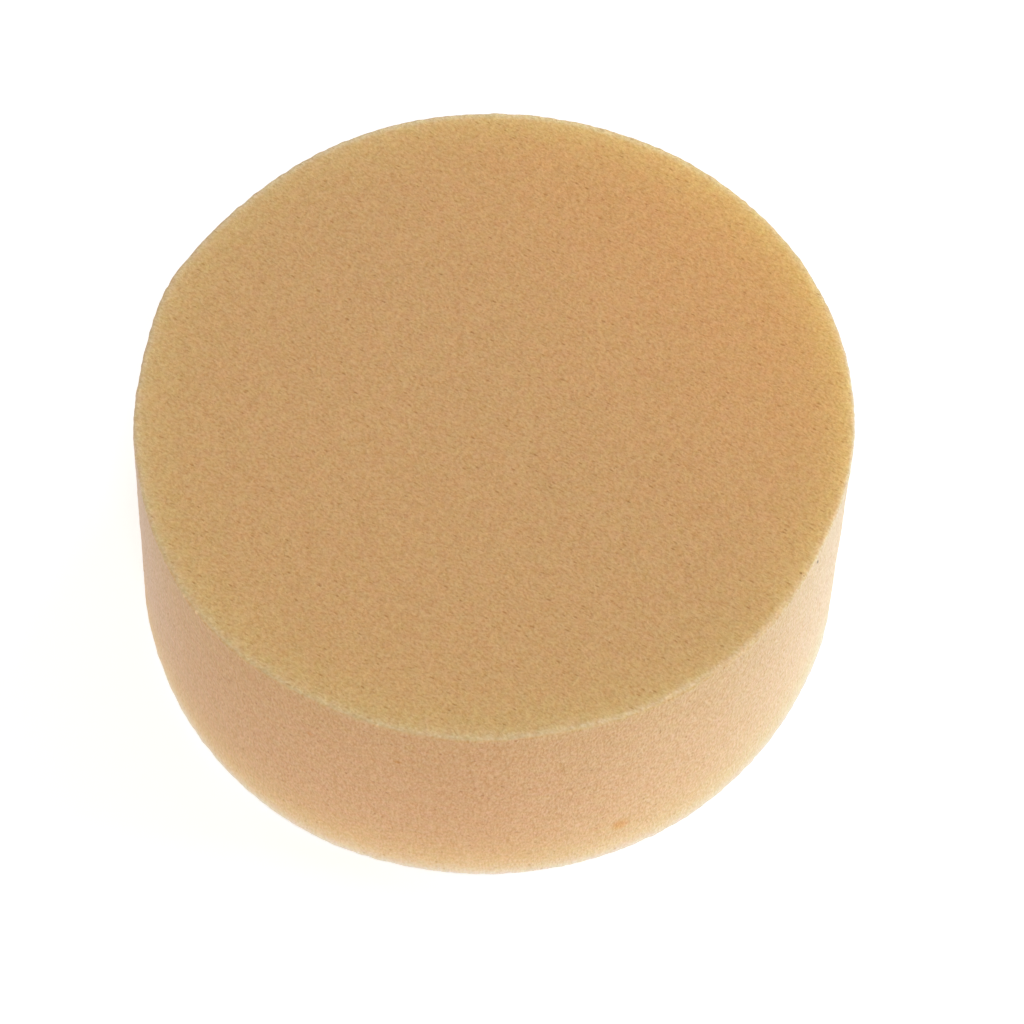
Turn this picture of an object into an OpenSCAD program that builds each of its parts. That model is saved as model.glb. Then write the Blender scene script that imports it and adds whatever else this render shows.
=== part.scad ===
// Round foam sponge of the kind that lies in a wet palette: one thick disc cut from a block of
// fine open-cell foam. +Z is up and +Y is the back. The origin is on the base, under the middle
// of the disc.

/* [Disc] */
// Diameter of the disc, measured square to its wall
disc_d = 70; // [30:1:150]
// Thickness of the disc, from the base to the top face
disc_h = 30.5; // [5:0.5:60]

/* [Cut wall] */
// How far the top face stands to the right of the base, because the wall was cut out of square
wall_lean = 0.9; // [0:0.1:3]
// Depth of the shallow flat that the cutter left in the wall
flat_depth = 0.2; // [0:0.1:2]
// Way that the flat faces, in degrees counter-clockwise from +X
flat_dir = 174; // [0:1:359]

/* [Colour] */
// Colour of the foam
foam_colour = "#C99E6E";

/* [Hidden] */
$fn = 180;

// Lean of the wall from the upright
lean_angle = atan(wall_lean / disc_h);
// Height of the middle of the disc, about which the wall leans
middle_z = disc_h / 2;
// The column and the block are this much longer and wider than the disc, so that they cut it clean
column_l = 2 * (disc_d + disc_h);
block_w = 2 * (disc_d + wall_lean);

// Round column with one shallow flat along its whole length
module flatted_column() {
    difference() {
        cylinder(d = disc_d, h = column_l, center = true);
        rotate([0, 0, flat_dir])
            translate([disc_d / 2 - flat_depth, -disc_d / 2, -column_l / 2])
                cube([disc_d, disc_d, column_l]);
    }
}

// Block of foam with its two level faces: the base at the bottom and the top face
module foam_block() {
    translate([-block_w / 2, -block_w / 2, 0])
        cube([block_w, block_w, disc_h]);
}

// The sponge: what the leaning column cuts out of the block
module foam_disc() {
    color(foam_colour)
        intersection() {
            translate([0, 0, middle_z])
                rotate([0, lean_angle, 0])
                    flatted_column();
            foam_block();
        }
}

foam_disc();
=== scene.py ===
import math

import bmesh
import bpy
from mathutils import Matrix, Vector, noise


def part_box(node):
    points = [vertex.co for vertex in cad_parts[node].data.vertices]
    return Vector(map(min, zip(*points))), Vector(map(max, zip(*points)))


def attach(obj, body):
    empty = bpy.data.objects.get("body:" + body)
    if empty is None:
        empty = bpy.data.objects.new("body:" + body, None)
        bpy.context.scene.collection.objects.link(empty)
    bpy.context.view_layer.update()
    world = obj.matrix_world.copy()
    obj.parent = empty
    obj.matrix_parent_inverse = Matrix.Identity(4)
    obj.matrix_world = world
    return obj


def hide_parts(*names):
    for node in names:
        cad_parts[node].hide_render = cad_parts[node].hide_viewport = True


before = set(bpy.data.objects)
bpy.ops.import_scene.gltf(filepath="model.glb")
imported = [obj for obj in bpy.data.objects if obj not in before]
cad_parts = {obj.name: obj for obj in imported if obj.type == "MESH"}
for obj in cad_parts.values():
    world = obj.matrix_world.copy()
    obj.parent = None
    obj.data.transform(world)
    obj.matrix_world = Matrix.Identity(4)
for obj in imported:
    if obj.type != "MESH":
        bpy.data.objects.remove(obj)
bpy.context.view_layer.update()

# Foam disc: the whole sponge is one thick round of fine open-cell polyurethane foam. A band knife
# slices it from a block, and a round cutter then parts it from the slice. The cutter leans a little
# and strays from the circle in places, and the knife leaves a faint lie across the two flat faces.

mm = 0.001
solid_low, solid_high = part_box("foam_disc")
thickness = solid_high.z - solid_low.z
radius = (solid_high.y - solid_low.y) / 2
solid_points = [v.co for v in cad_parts["foam_disc"].data.vertices]
face_band = 0.1 * mm
top_right = max(p.x for p in solid_points if p.z > solid_high.z - face_band)
base_right = max(p.x for p in solid_points if p.z < solid_low.z + face_band)
lean = top_right - base_right

face_rings = 82
rim_band = 0.6 * mm
wall_rows = 68
arris = 0.3 * mm
arris_steps = 3
touching = 0.01 * mm

# Half of the disc is made about its middle plane: a six-sided fan, cut into rings of small triangles
foam = bmesh.new()
fan_radius = radius - rim_band
fan_side = math.radians(60)
bmesh.ops.create_circle(foam, cap_ends=True, cap_tris=True, segments=6, radius=fan_radius)
bmesh.ops.subdivide_edges(foam, edges=foam.edges[:], cuts=face_rings - 1, use_grid_fill=True)


def rounded(point):
    """Where a point of the six-sided fan goes when its rings are made round."""
    angle = math.atan2(point.y, point.x)
    side = round(angle / fan_side)
    across = angle - fan_side * side
    ring = point.xy.length * math.cos(across) / math.cos(fan_side / 2)
    share = math.tan(across) / (2 * math.tan(fan_side / 2))
    turned = fan_side * (side + share)
    return Vector((ring * math.cos(turned), ring * math.sin(turned), 0))


for v in foam.verts:
    if v.co.xy.length > touching:
        v.co = rounded(v.co)


def pulled_out(edges):
    """The outer vertices and edges of a new band of faces, drawn out from a row of open edges."""
    drawn = bmesh.ops.extrude_edge_only(foam, edges=edges)["geom"]
    outer_verts = [part for part in drawn if isinstance(part, bmesh.types.BMVert)]
    outer_edges = [part for part in drawn if isinstance(part, bmesh.types.BMEdge)]
    return outer_verts, outer_edges


open_rim = [e for e in foam.edges if e.is_boundary]
rim_verts, rim_edges = pulled_out(open_rim)
for v in rim_verts:
    v.co *= radius / fan_radius
band_verts, band_edges = pulled_out(rim_edges)
bmesh.ops.translate(foam, verts=band_verts, vec=(0, 0, -rim_band))
half_verts = pulled_out(band_edges)[0]
bmesh.ops.translate(foam, verts=half_verts, vec=(0, 0, rim_band - thickness / 2))
upright = [e for v in half_verts for e in v.link_edges if not e.is_boundary]
bmesh.ops.subdivide_edges(foam, edges=upright, cuts=wall_rows // 2 - 2, use_grid_fill=True)

# The half is lifted and mirrored, and both rims are eased
bmesh.ops.translate(foam, verts=foam.verts[:], vec=(0, 0, thickness / 2))
bmesh.ops.mirror(foam, geom=foam.verts[:] + foam.edges[:] + foam.faces[:], axis="Z", merge_dist=touching)
bmesh.ops.translate(foam, verts=foam.verts[:], vec=(0, 0, thickness / 2))
bmesh.ops.recalc_face_normals(foam, faces=foam.faces[:])


def on_rim(v):
    """Whether a vertex lies on one of the two sharp rims."""
    at_face = min(v.co.z, thickness - v.co.z) < touching
    return at_face and radius - v.co.xy.length < touching


rims = [e for e in foam.edges if on_rim(e.verts[0]) and on_rim(e.verts[1])]
bmesh.ops.bevel(
    foam, geom=rims, offset=arris, offset_type="OFFSET", segments=arris_steps, profile=0.5,
    affect="EDGES", material=-1,
)


def from_rim(point):
    """How far along the skin a point of the clean disc is from the nearer rim."""
    return radius - point.xy.length + min(point.z, thickness - point.z)


fine_band = 1.0 * mm
near = [e for e in foam.edges if max(from_rim(v.co) for v in e.verts) < fine_band]
bmesh.ops.subdivide_edges(foam, edges=near, cuts=1, use_grid_fill=True)

# The places of the clean disc are kept for the finish, in millimetres
as_cut = foam.verts.layers.float_vector.new("as_cut")
for v in foam.verts:
    v[as_cut] = v.co / mm

# The skin is laid out flat while it is clean: two round faces side by side, then the wall in two strips.
# What looks up or down more steeply than face_slope goes with the round faces.
sheet = foam.loops.layers.uv.new("OFBake")
gutter = 1.0 * mm
sheet_side = 4 * radius + 3 * gutter
face_slope = 0.7
foam.normal_update()
for face in foam.faces:
    front = face.calc_center_median().y < 0
    for loop in face.loops:
        spot = loop.vert.co
        if abs(face.normal.z) > face_slope:
            above = face.normal.z > 0
            across = gutter + radius + spot.x + (0 if above else 2 * radius + gutter)
            up = gutter + radius + spot.y
        else:
            turn = math.atan2(spot.y, spot.x) - (-math.pi / 2 if front else math.pi / 2)
            turn = (turn + math.pi) % (2 * math.pi) - math.pi
            across = sheet_side / 2 + turn * radius
            up = 2 * radius + 2 * gutter + spot.z + (0 if front else thickness + gutter)
        loop[sheet].uv = (across / sheet_side, up / sheet_side)

# Places where the cutter strayed from the circle: direction and width in degrees, then millimetres
top_strays = [
    (155, 8, 0.36), (173, 7, -0.17), (134, 8, -0.10), (105, 12, 0.08), (74, 12, -0.12), (0, 18, -0.05),
    (-25, 13, -0.42), (-80, 8, -0.26), (-90, 20, 0.27), (-106, 9, 0.16), (-136, 19, 0.62), (-168, 6, -0.10),
]
base_strays = [
    (178, 8, -0.12), (-121, 13, 0.17), (-158, 10, -0.12), (-76, 14, -0.05), (-42, 9, -0.05), (-12, 9, 0.30),
]
# How steeply a stray dies away from the wall towards the middle of the disc
stray_fall = 4

# Slow waves, torn cells and finer tears: width and height in mm, and the place in the noise each is read at
unevenness = [
    (7.0, 0.05, (0, 0, 0)),
    (1.1, 0.035, (9, 4, 2)),
    (0.55, 0.03, (3, 7, 5)),
]
# The rim is ragged as well: how far in that reaches, and the width and height of its ragged bits
ragged_reach = 0.5 * mm
ragged_width = 0.7 * mm
ragged_height = 0.12 * mm


def strayed(strays, direction):
    """How far the outline stands out from the circle in this direction, in metres."""
    total = 0
    for middle, width, depth in strays:
        off = (direction - middle + 180) % 360 - 180
        total += depth * mm * math.exp(-((off / width) ** 2))
    return total


def relief(point):
    """How far the skin stands out from the clean disc."""
    out = 0
    for width, bump_height, shift in unevenness:
        out += noise.noise(point / (width * mm) + Vector(shift)) * bump_height * mm
    ragged = noise.noise(point / ragged_width) * ragged_height
    return out + math.exp(-from_rim(point) / ragged_reach) * ragged


moves = []
for v in foam.verts:
    clean = v.co.copy()
    height = clean.z / thickness
    direction = math.degrees(math.atan2(clean.y, clean.x))
    stray = height * strayed(top_strays, direction) + (1 - height) * strayed(base_strays, direction)
    share = (clean.xy.length / radius) ** stray_fall
    out = Vector((clean.x, clean.y, 0)).normalized() * stray * share
    leant = Vector((lean * (height - 0.5), 0, 0))
    moves.append(clean + out + leant + v.normal * relief(clean))
for v, place in zip(foam.verts, moves):
    v.co = place
    v.co.z = max(v.co.z, 0)

disc_mesh = bpy.data.meshes.new("foam_disc_skin")
foam.to_mesh(disc_mesh)
foam.free()
disc_mesh.shade_smooth()
foam_skin = bpy.data.objects.new("foam_skin", disc_mesh)
bpy.context.scene.collection.objects.link(foam_skin)


# The finish: the wall and the two faces are one foam, cut by two blades
def fitted(tree, kind, feeds, **settings):
    """A new node in a tree. feeds gives each input, by name or number, a value or what is wired to it."""
    new = tree.nodes.new("ShaderNode" + kind)
    for setting, value in settings.items():
        setattr(new, setting, value)
    for place, source in feeds.items():
        if isinstance(source, bpy.types.NodeSocket):
            tree.links.new(source, new.inputs[place])
        else:
            new.inputs[place].default_value = source
    return new


def maths(tree, operation, first, second=0.0):
    """The outcome of one Math node."""
    return fitted(tree, "Math", {0: first, 1: second}, operation=operation).outputs[0]


def ramp_between(tree, value, start, end):
    """0 where the value is at start, 1 at end, and smooth between them."""
    feeds = {"Value": value, "From Min": start, "From Max": end}
    return fitted(tree, "MapRange", feeds, interpolation_type="SMOOTHSTEP").outputs["Result"]


def mixed(tree, share, first, second, blend="MIX"):
    """Two colours laid over each other by a share."""
    new = tree.nodes.new("ShaderNodeMix")
    new.data_type = "RGBA"
    new.blend_type = blend
    for place, source in (("Factor_Float", share), ("A_Color", first), ("B_Color", second)):
        socket = next(s for s in new.inputs if s.identifier == place)
        if isinstance(source, bpy.types.NodeSocket):
            tree.links.new(source, socket)
        else:
            socket.default_value = source
    return next(s for s in new.outputs if s.identifier == "Result_Color")


def new_group(name, inputs, outputs):
    """An empty node group, with its sockets, its input node and its output node."""
    tree = bpy.data.node_groups.new(name, "ShaderNodeTree")
    for label, kind in inputs:
        tree.interface.new_socket(label, in_out="INPUT", socket_type="NodeSocket" + kind)
    for label, kind in outputs:
        tree.interface.new_socket(label, in_out="OUTPUT", socket_type="NodeSocket" + kind)
    return tree, tree.nodes.new("NodeGroupInput").outputs, tree.nodes.new("NodeGroupOutput").inputs


def open_cells():
    """Cut foam cells: fine strands, and deeper nicks here and there where a blade plucked them out."""
    tree, given, gives = new_group(
        "open_cells", [("In cells", "Vector")], [("Strands", "Float"), ("Nicks", "Float")],
    )
    feeds = {"Vector": given["In cells"], "Scale": 1.0, "Detail": 1.5, "Roughness": 0.6}
    tree.links.new(fitted(tree, "TexNoise", feeds).outputs[0], gives["Strands"])

    nicks_per_cell = (0.33, 0.60, 0.60)
    hole_edge = 0.34
    hole_floor = 0.10
    first_plucked = 0.60
    fully_plucked = 0.95
    sparse = fitted(tree, "Mapping", {"Vector": given["In cells"], "Scale": nicks_per_cell}).outputs[0]
    plucked = fitted(tree, "TexVoronoi", {"Vector": sparse, "Scale": 1.0}).outputs
    chance = fitted(tree, "SeparateColor", {0: plucked["Color"]}).outputs[0]
    hole = ramp_between(tree, plucked["Distance"], hole_edge, hole_floor)
    gone = ramp_between(tree, chance, first_plucked, fully_plucked)
    tree.links.new(maths(tree, "MULTIPLY", hole, gone), gives["Nicks"])
    return tree


def skin_places():
    """Where a spot lies on the disc, from the places kept before the blades strayed.

    From rim and Up are in millimetres, and Right and Back run from -1 to 1 across the disc.
    """
    tree, given, gives = new_group(
        "skin_places", [("As cut", "Vector")],
        [(label, "Float") for label in ("From rim", "On face", "Up", "Right", "Back")],
    )
    parts = fitted(tree, "SeparateXYZ", {0: given["As cut"]}).outputs
    flat = fitted(tree, "CombineXYZ", {"X": parts["X"], "Y": parts["Y"]}).outputs[0]
    out = fitted(tree, "VectorMath", {0: flat}, operation="LENGTH").outputs["Value"]
    inward = maths(tree, "SUBTRACT", radius / mm, out)
    below = maths(tree, "SUBTRACT", thickness / mm, parts["Z"])
    nearer = maths(tree, "MINIMUM", below, parts["Z"])
    tree.links.new(maths(tree, "ADD", inward, nearer), gives["From rim"])
    tree.links.new(maths(tree, "MULTIPLY", parts["X"], mm / radius), gives["Right"])
    tree.links.new(maths(tree, "MULTIPLY", parts["Y"], mm / radius), gives["Back"])
    tree.links.new(parts["Z"], gives["Up"])

    # The face's cells end on the eased rim: a blur either side of its middle, which sinks to the right
    blur = 0.3
    sink = 0.15
    sunk = maths(tree, "MULTIPLY", maths(tree, "MAXIMUM", parts["X"], 0.0), sink * mm / radius)
    above = maths(tree, "SUBTRACT", maths(tree, "SUBTRACT", inward, nearer), sunk)
    tree.links.new(ramp_between(tree, above, -blur, blur), gives["On face"])
    return tree


foam_finish = bpy.data.materials.new("cut_foam")
foam_finish.use_nodes = True
tree = foam_finish.node_tree
bsdf = tree.nodes["Principled BSDF"]

place = fitted(tree, "TexCoord", {}).outputs["Object"]
kept = fitted(tree, "Attribute", {}, attribute_name="as_cut").outputs["Vector"]
where = fitted(tree, "Group", {}, node_tree=skin_places())
tree.links.new(kept, where.inputs["As cut"])
where = where.outputs
cells_tree = open_cells()


def cut_cells(turn, sizes):
    """The cells as a blade leaves them: the turn of its path in degrees, and their sizes in mm."""
    feeds = {"Vector": place, "Rotation": (0, 0, math.radians(turn)), "Scale": [size * mm for size in sizes]}
    in_cells = fitted(tree, "Mapping", feeds, vector_type="TEXTURE").outputs[0]
    cells = fitted(tree, "Group", {}, node_tree=cells_tree)
    tree.links.new(in_cells, cells.inputs["In cells"])
    return cells.outputs


def by_face(on_face, on_wall):
    """A value that differs between the knife's faces and the cutter's wall."""
    feeds = {"Factor": where["On face"], "A": on_wall, "B": on_face}
    return fitted(tree, "Mix", feeds).outputs[0]


def product(first, *others):
    """Shares multiplied by each other."""
    for other in others:
        first = maths(tree, "MULTIPLY", first, other)
    return first


def fading(distance, reach):
    """1 where a distance is nothing, and fading away past the reach, both in millimetres."""
    return maths(tree, "EXPONENT", product(distance, -1 / reach))


def towards(direction, narrowness=1.0):
    """How far a spot lies towards one side of the disc, to a power: 1 at that side, 0 in the other half.

    The direction is in degrees, counter-clockwise from the right.
    """
    along = math.cos(math.radians(direction))
    aside = math.sin(math.radians(direction))
    far = maths(tree, "ADD", product(where["Right"], along), product(where["Back"], aside))
    return maths(tree, "POWER", maths(tree, "MAXIMUM", far, 0.0), narrowness)


def shaded(colour, shades):
    """A colour with shades laid on it, each by its own share: red, green and blue to add or to take away."""
    for share, shade in shades:
        feeds = {0: share, 1: shade, 2: colour}
        colour = fitted(tree, "VectorMath", feeds, operation="MULTIPLY_ADD").outputs[0]
    return colour


knife_cells = cut_cells(-31, (0.34, 0.215, 0.22))
cutter_cells = cut_cells(0, (0.215, 0.215, 0.50))
strands = by_face(knife_cells["Strands"], cutter_cells["Strands"])
nicks = by_face(knife_cells["Nicks"], cutter_cells["Nicks"])
nick_depth = 0.25
height = maths(tree, "SUBTRACT", strands, product(nicks, nick_depth))

# Colour of the two faces, with painted light: a painted warm glow, as of light coming through the foam,
# towards the back right and along the rim, strongest at the right beside the bright wall; and the rim is
# paler within about a millimetre, most of all round the back and at the front right
rim = where["From rim"]
# The rim is paler from 0.9 mm in to 0.3 mm, most round the back and at the front right
palest_at = 0.3
pale_from = 0.9
pale_rim = ramp_between(tree, rim, pale_from, palest_at)
# Painted warm glow, as of light coming through the foam, strongest towards the back right
painted_glow_side = towards(38, 1.5)
front_right = towards(-55, 4.0)
right = towards(0)
left = towards(180)
back_swing = 0.2
back_reach = 0.45
back = maths(tree, "SUBTRACT", where["Back"], product(where["Right"], back_swing))
back = maths(tree, "MAXIMUM", maths(tree, "ADD", back, back_reach), 0.0)
# Painted light in these shades: the rim glows yellow, as of light coming through the thin edge, most of all
# at the right beside the brightly lit wall
face_colour = shaded((0.570, 0.327, 0.136), [
    (fading(rim, 3.0), (0.026, 0.067, 0.011)),
    (fading(rim, 0.6), (0.015, 0.062, 0.105)),
    (painted_glow_side, (0.092, 0.003, -0.017)),
    (product(painted_glow_side, fading(rim, 2.0)), (0.060, 0.090, 0.005)),
    (product(right, fading(rim, 0.8)), (0.113, 0.027, -0.025)),
    (product(back, fading(rim, 1.5)), (0.029, 0.019, 0.009)),
    (product(pale_rim, back), (0.015, 0.053, 0.060)),
    (product(pale_rim, back, left), (-0.011, -0.042, -0.037)),
    (product(right, back, fading(rim, 0.8)), (-0.080, -0.003, 0.038)),
    (product(pale_rim, front_right), (0.055, 0.062, 0.071)),
])

# Colour of the wall: pinker than the faces, with painted light on it: lighter down the wall and palest at its
# foot, as of light bounced up from the floor, paler under the top rim and towards the right lamp, and a
# painted sheen where it turns away to either side
# Painted light: the wall grows lighter towards its foot and palest at the foot's edge, as of light bounced up
# from the floor
down_wall = maths(tree, "SUBTRACT", 1.0, product(where["Up"], mm / thickness))
foot = fading(where["Up"], 4.0)
edge = fading(where["Up"], 1.2)
# Painted light: paler towards the right, where the right lamp is strongest, and a painted sheen at the far
# right and left where the wall turns away
right_side = towards(0, 4.0)
left_side = towards(180, 4.0)
right_end = towards(0, 16.0)
left_end = towards(180, 16.0)
wall_colour = shaded((0.509, 0.286, 0.123), [
    (down_wall, (0.103, 0.052, 0.050)),
    (foot, (0.210, 0.260, 0.071)),
    (edge, (-0.016, 0.124, 0.394)),
    (fading(rim, 0.5), (0.012, 0.036, 0.022)),
    (right, (-0.006, 0.057, 0.037)),
    (product(right, foot), (-0.275, -0.139, -0.025)),
    (product(right, edge), (0.093, -0.134, -0.183)),
    (right_side, (0.042, 0.083, 0.105)),
    (left_side, (0.038, 0.025, -0.008)),
    (right_end, (0.024, 0.041, 0.060)),
    (left_end, (0.070, 0.130, 0.190)),
    (product(left_end, foot), (-0.120, -0.250, -0.310)),
    (product(right_side, foot), (-0.035, -0.045, -0.050)),
])
body_colour = mixed(tree, where["On face"], wall_colour, face_colour)

# The strands between the cells are paler than the foam and the pits darker: partly the foam's own grain,
# partly a painted highlight on the strands and painted shade in the pits. The nicks are painted darker and
# browner, as shade in the holes.
# The cells show less at the wall's foot, where the painted pale foot washes them out like a bright highlight.
# Painted highlight on the strands and painted shade in the pits, over the foam's own grain
pit_shade_on_face = (0.870, 0.800, 0.690, 1)
strand_highlight_on_face = (1.130, 1.200, 1.310, 1)
pit_shade_on_wall = (0.835, 0.745, 0.530, 1)
strand_highlight_on_wall = (1.165, 1.255, 1.470, 1)
nick_shade = (0.800, 0.710, 0.590, 1)
deepest = 0.25
highest = 0.75
foot_washout = 0.6
lit = fitted(tree, "MapRange", {"Value": strands, "From Min": deepest, "From Max": highest}).outputs["Result"]
# The grain fades at the wall's foot, washed out by the painted pale foot like a bright highlight
clearness = by_face(1.0, maths(tree, "SUBTRACT", 1.0, product(foot, foot_washout)))
wall_grain_shading = mixed(tree, lit, pit_shade_on_wall, strand_highlight_on_wall)
face_grain_shading = mixed(tree, lit, pit_shade_on_face, strand_highlight_on_face)
# The grain's painted highlight and shade, on the face or on the wall
tint = mixed(tree, where["On face"], wall_grain_shading, face_grain_shading)
colour = mixed(tree, clearness, body_colour, tint, blend="MULTIPLY")
# Painted shade in the plucked holes
colour = mixed(tree, nicks, colour, nick_shade, blend="MULTIPLY")

# The dye is uneven: pinker and greener patches of about a millimetre, and bluer and yellower ones
patch_size = 1.0 * mm
greener = (0.976, 1.031, 1.000, 1)
pinker = (1.024, 0.969, 1.000, 1)
yellower = (1.013, 1.017, 0.950, 1)
bluer = (0.987, 0.983, 1.050, 1)
patch_low = 0.2
patch_high = 0.8
feeds = {"Vector": place, "Scale": 1 / patch_size, "Detail": 2.0, "Roughness": 0.7}
patches = fitted(tree, "TexNoise", feeds).outputs["Color"]
patches = fitted(tree, "SeparateColor", {0: patches}).outputs
for patch, first, second in ((patches[0], greener, pinker), (patches[1], yellower, bluer)):
    share = ramp_between(tree, patch, patch_low, patch_high)
    colour = mixed(tree, 1.0, colour, mixed(tree, share, first, second), blend="MULTIPLY")

# Small marks from handling: place in mm on the clean disc, tilt and turn in degrees, half sizes in mm, tint
rust = (0.95, 0.78, 0.50, 1)
grit = (0.55, 0.50, 0.44, 1)
dark_grit = (0.28, 0.25, 0.18, 1)
fleck = (1.28, 1.34, 1.50, 1)
marks = [
    ((13.0, -32.5, 6.4), (0, -68), (2.4, 1.3, 1.6), rust),
    ((-8.8, -33.9, 23.9), (0, -105), (1.0, 0.6, 0.5), rust),
    ((-17.2, -30.5, 23.0), (0, -120), (1.0, 0.5, 0.5), rust),
    ((31.4, -15.45, 28.7), (26, -26), (1.0, 0.24, 1.0), dark_grit),
    ((29.5, -17.6, 30.5), (0, -31), (0.2, 0.18, 0.5), grit),
    ((29.8, -17.9, 30.5), (0, -31), (0.12, 0.12, 0.5), grit),
    ((-10.8, -33.3, 30.4), (0, -108), (0.35, 0.2, 0.4), fleck),
    ((-27.8, -21.3, 30.4), (0, -142), (0.5, 0.35, 0.6), fleck),
    ((-29.0, -19.6, 30.4), (0, -146), (0.3, 0.3, 0.4), fleck),
]
mark_edge = 1.0
mark_core = 0.2
for centre, (tilt, turn), half_sizes, tint in marks:
    turned = (math.radians(tilt), 0, math.radians(turn))
    feeds = {"Vector": kept, "Location": centre, "Rotation": turned, "Scale": half_sizes}
    local = fitted(tree, "Mapping", feeds, vector_type="TEXTURE").outputs[0]
    away = fitted(tree, "VectorMath", {0: local}, operation="LENGTH").outputs["Value"]
    colour = mixed(tree, ramp_between(tree, away, mark_edge, mark_core), colour, tint, blend="MULTIPLY")
tree.links.new(colour, bsdf.inputs["Base Color"])

cell_depth = 0.15 * mm
bump = fitted(tree, "Bump", {"Height": height, "Strength": 0.7, "Distance": cell_depth})
tree.links.new(bump.outputs[0], bsdf.inputs["Normal"])
bsdf.inputs["Roughness"].default_value = 0.95
bsdf.inputs["Specular IOR Level"].default_value = 0.2
bsdf.inputs["Sheen Weight"].default_value = 0.2
bsdf.inputs["Sheen Roughness"].default_value = 0.5
disc_mesh.materials.append(foam_finish)

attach(foam_skin, "root")
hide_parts("foam_disc")

# Floor: a plain white board, 3 m across, that the sponge stands on. It is matt, keeps the sponge's
# soft shadow, and glows a little for the camera alone, so that from above it is as white as the room.

floor_half = 1.5
floor_white = (0.85, 0.85, 0.85, 1)
floor_glow = 0.35
floor_mesh = bpy.data.meshes.new("floor")
board = bmesh.new()
bmesh.ops.create_grid(board, x_segments=1, y_segments=1, size=floor_half)
board.to_mesh(floor_mesh)
board.free()
floor = bpy.data.objects.new("floor", floor_mesh)
bpy.context.scene.collection.objects.link(floor)

floor_finish = bpy.data.materials.new("white_floor")
floor_finish.use_nodes = True
floor_tree = floor_finish.node_tree
floor_bsdf = floor_tree.nodes["Principled BSDF"]
floor_bsdf.inputs["Base Color"].default_value = floor_white
floor_bsdf.inputs["Roughness"].default_value = 0.9
floor_bsdf.inputs["Emission Color"].default_value = (1, 1, 1, 1)
seen = fitted(floor_tree, "LightPath", {}).outputs["Is Camera Ray"]
glow = maths(floor_tree, "MULTIPLY", seen, floor_glow)
floor_tree.links.new(glow, floor_bsdf.inputs["Emission Strength"])
floor_mesh.materials.append(floor_finish)

# Light: an even room that is plain white to the camera and half as bright on the sponge, and five
# square soft boxes round it. The front and right ones are strongest, so the wall pales to the right.

room_level = 0.5
world = bpy.data.worlds.new("studio")
world.use_nodes = True
sky = world.node_tree
sky.nodes["Background"].inputs["Color"].default_value = (1, 1, 1, 1)
seen = fitted(sky, "LightPath", {}).outputs["Is Camera Ray"]
level = fitted(sky, "MapRange", {"Value": seen, "To Min": room_level, "To Max": 1.0}).outputs["Result"]
sky.links.new(level, sky.nodes["Background"].inputs["Strength"])
bpy.context.scene.world = world


def soft_lamp(name, place, size, power):
    """A square soft box that faces the middle of the disc. Place and size are in metres, power in watts."""
    box = bpy.data.lights.new(name, "AREA")
    box.size = size
    box.energy = power
    lamp = bpy.data.objects.new(name, box)
    lamp.location = place
    lamp.rotation_euler = (Vector(place) - Vector((0, 0, thickness / 2))).to_track_quat("Z", "Y").to_euler()
    bpy.context.scene.collection.objects.link(lamp)


soft_lamp("lamp_front", (0, -0.9, 0.4), 0.5, 4.6)
soft_lamp("lamp_right", (0.9, 0, 0.2), 0.4, 5.1)
soft_lamp("lamp_back_right", (0.65, 0.65, 0.4), 0.5, 3.2)
soft_lamp("lamp_back_left", (-0.65, 0.65, 0.4), 0.5, 2.0)
soft_lamp("lamp_left", (-0.9, 0, 0.4), 0.5, 1.0)

# Camera: a long lens, held about half a metre off, over the front of the sponge. It looks steeply
# down on the top face and sees the front half of the wall below it.

lens = 170
camera_place = Vector((2.176, -234.613, 436.093)) * mm
camera_elevation = math.radians(61.11)
eye = bpy.data.cameras.new("camera")
eye.lens = lens
eye.clip_start = 10 * mm
camera = bpy.data.objects.new("camera", eye)
camera.location = camera_place
camera.rotation_euler = (math.radians(90) - camera_elevation, 0, 0)
bpy.context.scene.collection.objects.link(camera)
bpy.context.scene.camera = camera
bpy.context.scene.view_settings.view_transform = "Standard"
